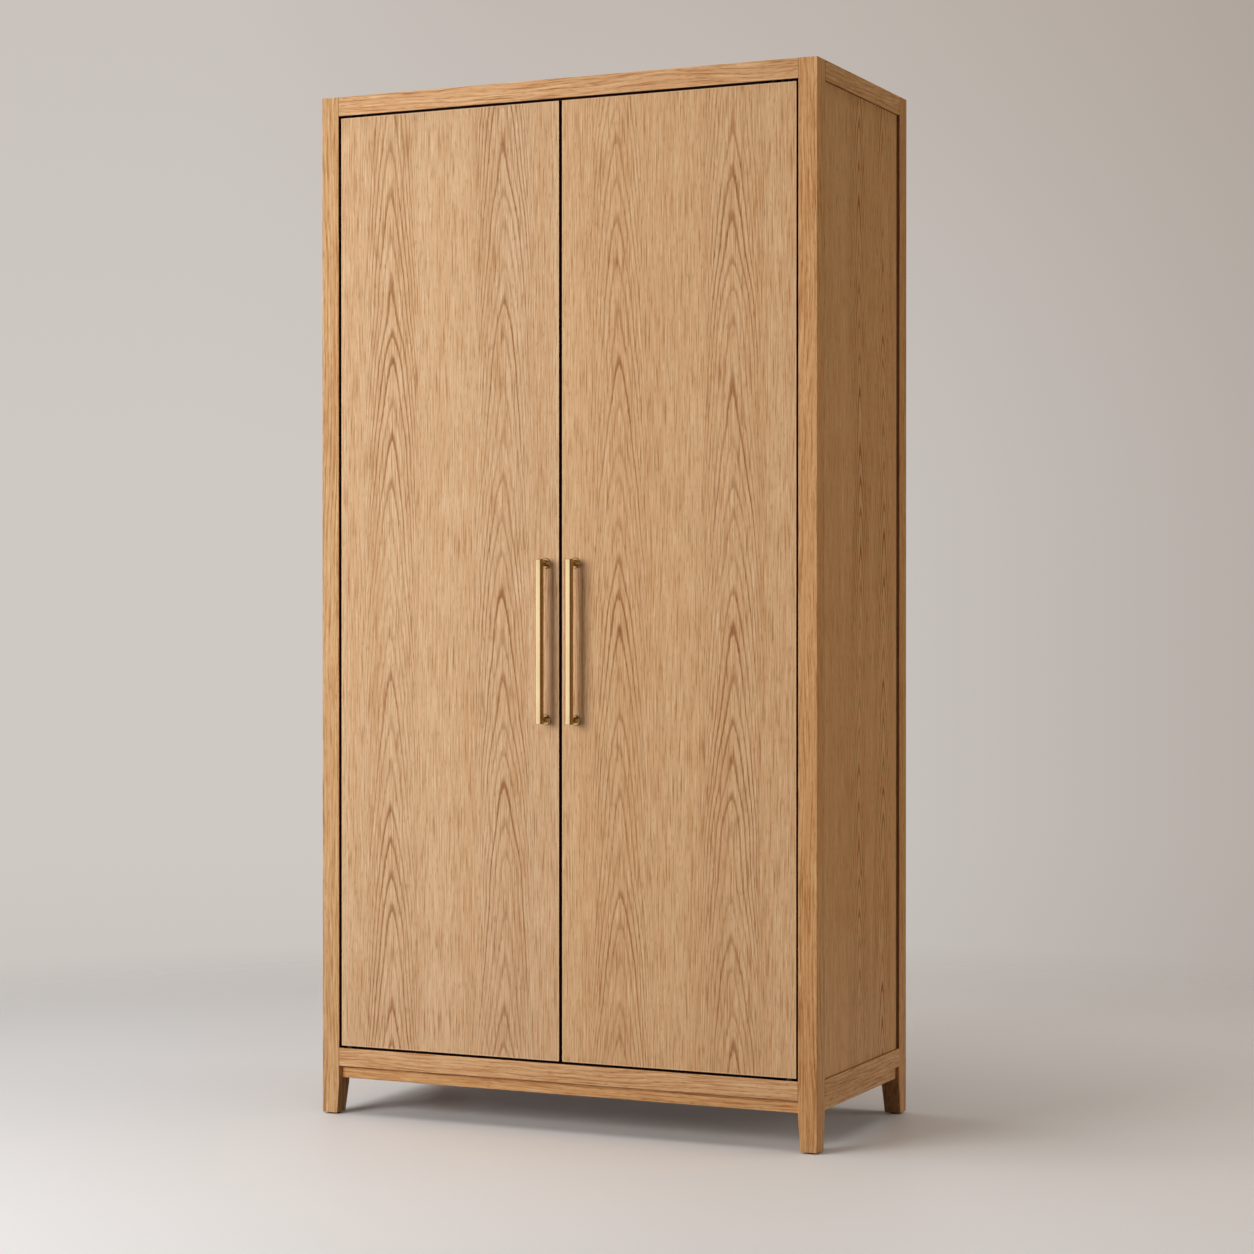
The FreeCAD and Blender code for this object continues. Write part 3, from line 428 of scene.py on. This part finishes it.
shaded_apron_oak = rift_oak("shaded_apron_oak", "Z", "Y", "X", SHADED_APRON_TONE, seed=8.0)
depth_oak = rift_oak("depth_oak", "Z", "X", "Y", SHADED_SIDE_TONE, seed=6.0, joints_and_painted_shade=side_rail_joint_and_painted_shade)
back_panel_oak = crown_oak("back_panel_oak", "X", "Y", (-0.25, 0.25), 0.0, BACK_STRENGTH,
                           RAIL_TONE, seed=12.0)
shelf_oak = rift_oak("shelf_oak", "Y", "Z", "X", SHELF_TONE, ring=0.011, seed=5.0)


# Other finishes

METAL_RELIEF = 0.00003
BRASS_BRIGHT = paint(0.895, 0.785, 0.600)
BRASS_DULL = paint(0.870, 0.755, 0.565)
BRASS_PAINTED_SHADE = paint(0.69, 0.57, 0.39)


def brass_finish(name, shaded_span=None):
    """Satin brass; the second argument gives the depths between which it goes from bright to a
    deeper tone, painted shade for the dark door that the bar reflects.
    """
    material, start = new_finish(name)
    places = grain_places(start, "X", "Y", "Z")
    brushing = lumps(start, places, 1500, 60)
    clouds = lumps(start, places, 35, 12)
    colour = start.tint(clouds.ease(0.35, 0.65), BRASS_BRIGHT, BRASS_DULL)
    if shaded_span:
        # Painted shade: a deeper tone from just behind the bar's front
        colour = start.tint(places[1].ease(*shaded_span), colour, BRASS_PAINTED_SHADE)
    roughness = 0.15 + 0.08 * brushing + 0.04 * clouds
    coat(start, colour, roughness, brushing, METAL_RELIEF, Metallic=1.0)
    return material


def zinc_finish():
    material, start = new_finish("zinc_steel")
    spot = own_place(start)
    crystals = start.node("ShaderNodeTexVoronoi", (), {"Vector": spot, "Scale": 700.0})
    haze = start.noise(spot, scale=160.0)
    colour = start.tint(crystals, paint(0.78, 0.78, 0.77), paint(0.66, 0.67, 0.68))
    coat(start, colour, 0.30 + 0.14 * haze, haze, METAL_RELIEF, Metallic=1.0)
    return material


def bronze_finish():
    material, start = new_finish("bush_bronze")
    grains = start.noise(own_place(start), scale=1800.0)
    colour = start.tint(grains.ease(0.35, 0.65), paint(0.72, 0.53, 0.36), paint(0.58, 0.41, 0.27))
    coat(start, colour, 0.38 + 0.2 * grains, grains, 0.00004, Metallic=1.0)
    return material


def nylon_finish():
    material, start = new_finish("dark_nylon")
    spot = own_place(start)
    texture = start.noise(spot, 3.0, scale=1400.0)
    scuffs = start.noise(spot, 3.0, scale=120.0)
    colour = start.tint(scuffs.ease(0.4, 0.7), paint(0.17, 0.135, 0.11), paint(0.25, 0.205, 0.17))
    coat(start, colour, 0.52 + 0.16 * scuffs, texture, 0.00008)
    return material


def black_steel_finish():
    material, start = new_finish("black_steel")
    bloom = start.noise(own_place(start), 3.0, scale=260.0)
    colour = start.tint(bloom.ease(0.35, 0.65),
                        paint(0.150, 0.145, 0.140), paint(0.215, 0.205, 0.195))
    coat(start, colour, 0.42 + 0.16 * bloom, bloom, METAL_RELIEF, Metallic=1.0)
    return material


# Dark brown oak on the door lippings and the stop strip: painted shade that keeps the gaps round
# the doors dark
def gap_shade_oak_finish():
    material, start = new_finish("stained_oak")
    places = grain_places(start, "X", "Y", "Z")
    pores = lumps(start, places, 420, 24)
    bands = lumps(start, places, 90, 3)
    ground = start.tint(bands.ease(0.3, 0.7),
                        paint(0.300, 0.152, 0.075), paint(0.260, 0.130, 0.062))
    colour = start.tint(pores.ease(0.50, 0.66) * 0.6, ground, paint(0.115, 0.058, 0.032))
    coat(start, colour, 0.50 + 0.14 * pores, pores, 0.0001, Specular_IOR_Level=0.25)
    return material


def core_board_finish():
    material, start = new_finish("door_core_board")
    spot = own_place(start)
    chips = start.node("ShaderNodeTexVoronoi", (), {"Vector": spot, "Scale": 320.0})
    dust = start.noise(spot, 3.0, scale=900.0)
    ground = start.tint(chips, paint(0.74, 0.60, 0.43), paint(0.58, 0.44, 0.29))
    coat(start, start.shade(ground, 0.85 + 0.3 * dust), 0.8 + 0.1 * dust, dust, 0.0001)
    return material


def beech_finish():
    material, start = new_finish("beech_dowel")
    x, y, z = grain_places(start, "X", "Y", "Z")
    flecks = start.noise(start.point(x * 900, y * 120, z * 240))
    colour = start.tint(flecks.ease(0.5, 0.72), paint(0.86, 0.70, 0.53), paint(0.66, 0.48, 0.33))
    coat(start, colour, 0.55 + 0.12 * flecks, flecks, 0.00008)
    return material


def bar_shade_depths():
    """The depths between which a bar goes from bright at its front to a deeper tone from half its
    radius back: painted shade for the shadowed door that its flanks and back reflect.
    """
    low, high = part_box("left_handle_bar")
    radius = (high.x - low.x) / 2
    return low.y + 0.08 * radius, low.y + 0.5 * radius


satin_brass = brass_finish("satin_brass")
handle_brass = brass_finish("handle_brass", bar_shade_depths())
zinc_steel = zinc_finish()
bush_bronze = bronze_finish()
dark_nylon = nylon_finish()
black_steel = black_steel_finish()
stained_oak = gap_shade_oak_finish()
core_board = core_board_finish()
beech_dowel = beech_finish()


# Boards with eased arrises

BOARD_EASE = 0.0011
VENEER_EASE = 0.0006
EASE_STEPS = 3
SAME_POINT = 1e-5
FLAT = math.radians(1.0)
ARRIS = math.radians(25.0)


def outer_faces(board):
    """The faces that lie on the outside of the whole board, not in a mortise, groove or bore."""
    points = [vertex.co for vertex in board.verts]
    outside = set()
    for face in board.faces:
        level = face.normal.dot(face.verts[0].co)
        if max(face.normal.dot(point) for point in points) - level < SAME_POINT:
            outside.add(face)
    return outside


def eased(node, finish, ease=BOARD_EASE):
    """Replace a board by a copy with its outer arrises rounded, as sanding leaves them."""
    board = bmesh.new()
    board.from_mesh(nodes[node].data)
    bmesh.ops.remove_doubles(board, verts=board.verts, dist=SAME_POINT)
    bmesh.ops.dissolve_limit(board, angle_limit=FLAT, verts=board.verts, edges=board.edges)
    board.normal_update()
    outside = outer_faces(board)
    arrises = [edge for edge in board.edges
               if len(edge.link_faces) == 2 and outside.issuperset(edge.link_faces)
               and edge.calc_face_angle() > ARRIS]
    bmesh.ops.bevel(board, geom=arrises, offset=ease, offset_type="OFFSET", segments=EASE_STEPS,
                    profile=0.5, affect="EDGES", clamp_overlap=False)
    mesh = bpy.data.meshes.new(f"{node}.eased")
    board.to_mesh(mesh)
    board.free()
    mesh.materials.append(finish)
    piece = bpy.data.objects.new(f"{node}.eased", mesh)
    scene.collection.objects.link(piece)
    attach(piece, nodes[node]["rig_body"])
    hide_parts(node)


eased("front_left_post", left_post_oak)
eased("front_right_post", right_post_oak)
eased("rear_left_post", rear_post_oak)
eased("rear_right_post", rear_post_oak)
for end in ENDS:
    for member in ("top_rail", "base_rail"):
        eased(f"{end}_{member}", cross_oak)
    eased(f"{end}_apron", shaded_apron_oak)
for side in SIDES:
    for member in ("top_rail", "base_rail", "apron"):
        eased(f"{side}_{member}", depth_oak)
    eased(f"{side}_shelf_cleat", depth_oak)
eased("hat_shelf", shelf_oak)
eased("back_stile", rear_post_oak)
eased("door_stop_strip", stained_oak)
eased("left_door_veneers", left_door_oak, VENEER_EASE)
eased("right_door_veneers", right_door_oak, VENEER_EASE)

CARRIED_OVER = {
    side_panel_oak: ["left_side_panel", "right_side_panel"],
    back_panel_oak: ["left_back_panel", "right_back_panel"],
    shelf_oak: ["top_panel", "floor_panel"],
    stained_oak: ["left_door_lippings", "right_door_lippings"],
    core_board: ["left_door_core", "right_door_core"],
    beech_dowel: ["dowel_pins"],
    satin_brass: ["hanging_rail", "rail_sockets"],
    black_steel: ["lower_pivot_plates", "upper_pivot_plates", "lower_pivot_pins",
                  "left_upper_pin", "right_upper_pin"],
    zinc_steel: ["short_screws", "stop_screws", "catch_magnets", "left_strike_plate",
                 "right_strike_plate", "left_handle_bolts", "right_handle_bolts"],
    bush_bronze: ["upper_pivot_bushes", "left_lower_bush", "right_lower_bush"],
    dark_nylon: ["floor_glides", "thrust_washers"],
}
for finish, names in CARRIED_OVER.items():
    for name in names:
        nodes[name].data.materials[0] = finish


# Bar handles, turned by Geometry Nodes

ROUND_STEPS = 5
ROUND_SIDES = 96
BAR_EASE = 0.0012
ROSETTE_EASE = 0.0011
STEM_EASE = 0.0002
SMOOTH_TO = math.radians(40.0)
FORWARD = (math.pi / 2, 0.0, 0.0)


def new_tree(name, sizes):
    """A geometry tree with named sizes as its inputs; the sizes come back as wires."""
    tree = bpy.data.node_groups.new(name, "GeometryNodeTree")
    for size in sizes:
        tree.interface.new_socket(size, in_out="INPUT", socket_type="NodeSocketFloat")
    tree.interface.new_socket("Geometry", in_out="OUTPUT", socket_type="NodeSocketGeometry")
    start = Wire(tree).node("NodeGroupInput")
    return tree, start, [start.beside(size) for size in sizes]


def turned_tree():
    """A round bar along Z from the origin, with both ends eased."""
    tree, start, (length, radius, ease) = new_tree("turned_bar", ("Length", "Radius", "Ease"))
    last = 2 * ROUND_STEPS + 1
    index = start.node("GeometryNodeInputIndex")
    upper = index > ROUND_STEPS + 0.5
    step = index + upper * (last - 2 * index)
    angle = step * (math.pi / 2 / ROUND_STEPS)
    inward = ease * (1 - start.math("COSINE", angle))
    height = inward + upper * (length - 2 * inward)
    girth = radius - ease + ease * start.math("SINE", angle)
    dots = start.node("GeometryNodeMeshLine", (), {
        "Count": last + 1, "Offset": (0.0, 0.0, 0.001)})
    line = start.node("GeometryNodeMeshToCurve", (), {"Mesh": dots})
    laid = start.node("GeometryNodeSetPosition", (), {
        "Geometry": line, "Position": start.point(0.0, 0.0, height)})
    ring = start.node("GeometryNodeCurvePrimitiveCircle", (), {
        "Resolution": ROUND_SIDES, "Radius": 1.0})
    skin = start.node("GeometryNodeCurveToMesh", (), {
        "Curve": laid, "Profile Curve": ring, "Scale": girth, "Fill Caps": True})
    start.node("NodeGroupOutput", (), {"Geometry": skin})
    return tree


HANDLE_SIZES = ("Bar Length", "Bar Radius", "Bar Ease", "Fixing Spacing", "Projection",
                "Standoff Radius", "Rosette Radius", "Rosette Thickness", "Rosette Ease")


def handle_tree(turned, finish):
    """A bar along Z before the origin, on two coped standoffs with rosettes against the door."""
    tree, start, sizes = new_tree("bar_handle", HANDLE_SIZES)
    (bar_length, bar_radius, bar_ease, spacing, projection, standoff_radius,
     rosette_radius, rosette_thickness, rosette_ease) = sizes

    def turn(length, radius, ease):
        return start.node("GeometryNodeGroup", {"node_tree": turned}, {
            "Length": length, "Radius": radius, "Ease": ease})

    def moved(shape, place, rotation=(0.0, 0.0, 0.0)):
        return start.node("GeometryNodeTransform", (), {
            "Geometry": shape, "Translation": place, "Rotation": rotation})

    bar = moved(turn(bar_length, bar_radius, bar_ease),
                start.point(0.0, projection * -1, bar_length * -0.5))

    stem = turn(projection - rosette_thickness, standoff_radius, STEM_EASE)
    axes = start.node("GeometryNodeInputPosition").axes()
    saddle = start.math("SQRT", (bar_radius * bar_radius - axes["X"] * axes["X"]).most(0.0))
    coped = start.node("GeometryNodeSetPosition", (), {
        "Geometry": stem, "Selection": axes["Z"] > 0.5 * projection,
        "Position": start.point(axes["X"], axes["Y"], projection - rosette_thickness - saddle)})
    standoff = moved(coped, start.point(0.0, rosette_thickness * -1, 0.0), FORWARD)
    rosette = moved(turn(rosette_thickness, rosette_radius, rosette_ease), (0.0, 0.0, 0.0), FORWARD)
    fixing = start.node("GeometryNodeJoinGeometry", (), {"Geometry": [standoff, rosette]})

    spots = start.node("GeometryNodeMeshLine", (), {
        "Count": 2, "Start Location": start.point(0.0, 0.0, spacing * -0.5),
        "Offset": start.point(0.0, 0.0, spacing)})
    fixings = start.node("GeometryNodeInstanceOnPoints", (), {
        "Points": spots, "Instance": fixing})
    whole = start.node("GeometryNodeJoinGeometry", (), {"Geometry": [bar, fixings]})
    real = start.node("GeometryNodeRealizeInstances", (), {"Geometry": whole})
    finished = start.node("GeometryNodeSetMaterial", (), {"Geometry": real, "Material": finish})
    start.node("NodeGroupOutput", (), {"Geometry": finished})
    return tree


def grown_mesh(name, tree, sizes):
    """The plain mesh that a geometry tree makes from named sizes."""
    holder = bpy.data.objects.new(name, bpy.data.meshes.new(f"{name}.seed"))
    scene.collection.objects.link(holder)
    modifier = holder.modifiers.new("tree", "NODES")
    modifier.node_group = tree
    for item in tree.interface.items_tree:
        if item.in_out == "INPUT":
            modifier[item.identifier] = sizes[item.name]
    evaluated = holder.evaluated_get(bpy.context.evaluated_depsgraph_get())
    mesh = bpy.data.meshes.new_from_object(evaluated)
    bpy.data.objects.remove(holder)
    return mesh


def door_handle(side, tree):
    """One door's handle, sized and placed by the nodes that it replaces."""
    bar_low, bar_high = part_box(f"{side}_handle_bar")
    fix_low, fix_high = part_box(f"{side}_handle_standoffs")
    rose_low, rose_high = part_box(f"{side}_handle_rosettes")
    bar_radius = (bar_high.x - bar_low.x) / 2
    standoff_radius = (fix_high.x - fix_low.x) / 2
    mesh = grown_mesh(f"{side}_bar_handle", tree, {
        "Bar Length": bar_high.z - bar_low.z,
        "Bar Radius": bar_radius,
        "Bar Ease": BAR_EASE,
        "Fixing Spacing": fix_high.z - fix_low.z - 2 * standoff_radius,
        "Projection": rose_high.y - (bar_low.y + bar_radius),
        "Standoff Radius": standoff_radius,
        "Rosette Radius": (rose_high.x - rose_low.x) / 2,
        "Rosette Thickness": rose_high.y - rose_low.y,
        "Rosette Ease": ROSETTE_EASE,
    })
    middle = (bar_low + bar_high) / 2
    mesh.transform(Matrix.Translation((middle.x, rose_high.y, middle.z)))
    mesh.polygons.foreach_set("use_smooth", [True] * len(mesh.polygons))
    mesh.set_sharp_from_angle(angle=SMOOTH_TO)
    piece = bpy.data.objects.new(f"{side}_bar_handle", mesh)
    scene.collection.objects.link(piece)
    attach(piece, f"{side}_door")
    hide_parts(f"{side}_handle_bar", f"{side}_handle_standoffs", f"{side}_handle_rosettes")


bar_handle = handle_tree(turned_tree(), handle_brass)
for side in SIDES:
    door_handle(side, bar_handle)


# Studio

TURN = math.radians(24.69)
VIEW_RIGHT = Vector((math.cos(TURN), math.sin(TURN), 0.0))
VIEW_AHEAD = Vector((-math.sin(TURN), math.cos(TURN), 0.0))
ASLANT = Vector((math.cos(2 * TURN), math.sin(2 * TURN), 0.0))
FLOOR_LEFT = paint(0.918, 0.922, 0.931)
FLOOR_RIGHT = paint(0.957, 0.945, 0.933)
FLOOR_BOUNCE = paint(0.52, 0.48, 0.44)
FLOOR_RADIUS = 6.0
FLOOR_FADE = (1.6, 3.3)
WALL_LEFT = paint(0.809, 0.787, 0.767)
WALL_SHADED_RIGHT = paint(0.66, 0.622, 0.589)
WALL_SHADED_CORNER = paint(0.617, 0.535, 0.471)
ROOM = paint(0.504, 0.407, 0.27)
WINDOW = (1.25, 1.25, 1.32, 1.0)
EVEN_LIGHT = paint(1.0, 0.935, 0.86)
EVEN_STRENGTH = 0.08


def looked_at(start):
    """1 for the rays that show a thing: from the camera itself, or by way of metal or glass."""
    straight = start.node("ShaderNodeLightPath", output="Is Camera Ray")
    mirrored = straight.beside("Is Glossy Ray")
    return straight.most(mirrored.most(straight.beside("Is Transmission Ray"))), mirrored


def studio_floor():
    """A pale floor that fades into the backdrop some way off, with painted light in its tone."""
    material, start = new_finish("studio_floor")
    spot = own_place(start)
    away = start.node("ShaderNodeVectorMath", {"operation": "LENGTH"}, {0: spot}, output="Value")
    grain = start.noise(spot, 3.0, scale=3.0)
    # Painted light: darker near the camera and lighter far off, lighter at the front right, and
    # going from the left tone to the right tone across it
    ahead = spot.along(VIEW_AHEAD)
    painted_light_pool = 1.0 + 0.12 * ahead.ease(-0.2, -0.75) * spot.along(VIEW_RIGHT).ease(0.1, 0.75)
    level = ahead.ease(-1.6, 1.6, 0.965, 1.10) * painted_light_pool * (0.99 + 0.02 * grain)
    base = start.tint(spot.along(ASLANT).ease(-1.2, 1.5), FLOOR_LEFT, FLOOR_RIGHT)
    seen = looked_at(start)[0]
    colour = start.tint(seen, FLOOR_BOUNCE, start.shade(base, level))
    floor = start.node("ShaderNodeBsdfPrincipled", (), {"Base Color": colour, "Roughness": 0.6})
    clear = start.node("ShaderNodeBsdfTransparent")
    mixed = start.node("ShaderNodeMixShader", (), {0: away.ease(*FLOOR_FADE), 1: floor, 2: clear})
    start.node("ShaderNodeOutputMaterial", (), {"Surface": mixed})
    sheet = bmesh.new()
    bmesh.ops.create_circle(sheet, cap_ends=True, segments=96, radius=FLOOR_RADIUS)
    mesh = bpy.data.meshes.new("studio_floor")
    sheet.to_mesh(mesh)
    sheet.free()
    mesh.materials.append(material)
    ground = bpy.data.objects.new("studio_floor", mesh)
    scene.collection.objects.link(ground)


def studio_world():
    """A warm grey backdrop with painted shade, a room with a window for the metal, and even light
    for the rest.
    """
    world = bpy.data.worlds.new("studio")
    world.use_nodes = True
    world.node_tree.nodes.clear()
    scene.world = world
    start = Wire(world.node_tree)
    way = start.node("ShaderNodeTexCoord", output="Generated")
    aside = way.along(VIEW_RIGHT)
    upright = way.axes()["Z"]
    # Painted shade on the backdrop: darker to the right, in the upper left, and just above the
    # floor line
    wall = start.tint(aside.ease(-0.03, 0.37), WALL_LEFT, WALL_SHADED_RIGHT)
    high = upright.ease(0.02, 0.275) * aside.ease(-0.155, -0.02, 0.14, 0.35)
    wall = start.tint(high, wall, WALL_SHADED_CORNER)
    wall = start.shade(wall, upright.ease(-0.07, -0.132, 1.0, 0.965))
    window = aside.ease(0.36, 0.16) * abs(upright).ease(0.15, 0.45, 1.0, 0.0)
    room = start.tint(window, ROOM, WINDOW)
    seen, mirrored = looked_at(start)
    backdrop = start.node("ShaderNodeBackground", (), {
        "Color": start.tint(mirrored, wall, room), "Strength": 1.0})
    even = start.node("ShaderNodeBackground", (), {
        "Color": EVEN_LIGHT, "Strength": EVEN_STRENGTH})
    both = start.node("ShaderNodeMixShader", (), {0: seen, 1: even, 2: backdrop})
    start.node("ShaderNodeOutputWorld", (), {"Surface": both})


def soft_lamp(name, place, target, width, height, power, colour):
    """A rectangular soft lamp that looks at a target."""
    data = bpy.data.lights.new(name, "AREA")
    data.shape = "RECTANGLE"
    data.size = width
    data.size_y = height
    data.energy = power
    data.color = colour
    lamp = bpy.data.objects.new(name, data)
    lamp.location = place
    lamp.rotation_euler = (Vector(target) - Vector(place)).to_track_quat("-Z", "Y").to_euler()
    lamp.visible_glossy = False
    scene.collection.objects.link(lamp)


# Each lamp: its place, what it looks at, width, height, watts and colour
LAMPS = {
    "key_lamp": ((-1.85, -3.5, 1.65), (0.0, -0.2, 1.0), 2.2, 1.8, 112.0, (1.0, 0.98, 0.955)),
    "top_lamp": ((0.0, -0.4, 6.0), (0.0, -0.4, 0.0), 5.0, 5.0, 103.0, (1.0, 0.985, 0.97)),
    "left_lamp": ((-1.7, -0.4, 5.6), (0.0, -0.2, 0.6), 3.2, 3.2, 66.0, (1.0, 0.985, 0.97)),
    "side_lamp": ((4.0, 1.6, 0.95), (0.5, 0.0, 0.95), 2.4, 1.7, 42.0, (1.0, 0.92, 0.80)),
}
EYE = (2.5466, -5.4591, 1.0682)
TILT = math.radians(89.65)
LENS = 81.7
SENSOR = 36.0


def camera():
    data = bpy.data.cameras.new("photo_camera")
    data.sensor_width = SENSOR
    data.lens = LENS
    eye = bpy.data.objects.new("photo_camera", data)
    eye.location = EYE
    eye.rotation_euler = (TILT, 0.0, TURN)
    scene.collection.objects.link(eye)
    scene.camera = eye


studio_floor()
studio_world()
for name, setting in LAMPS.items():
    soft_lamp(name, *setting)
camera()
scene.view_settings.view_transform = "Standard"
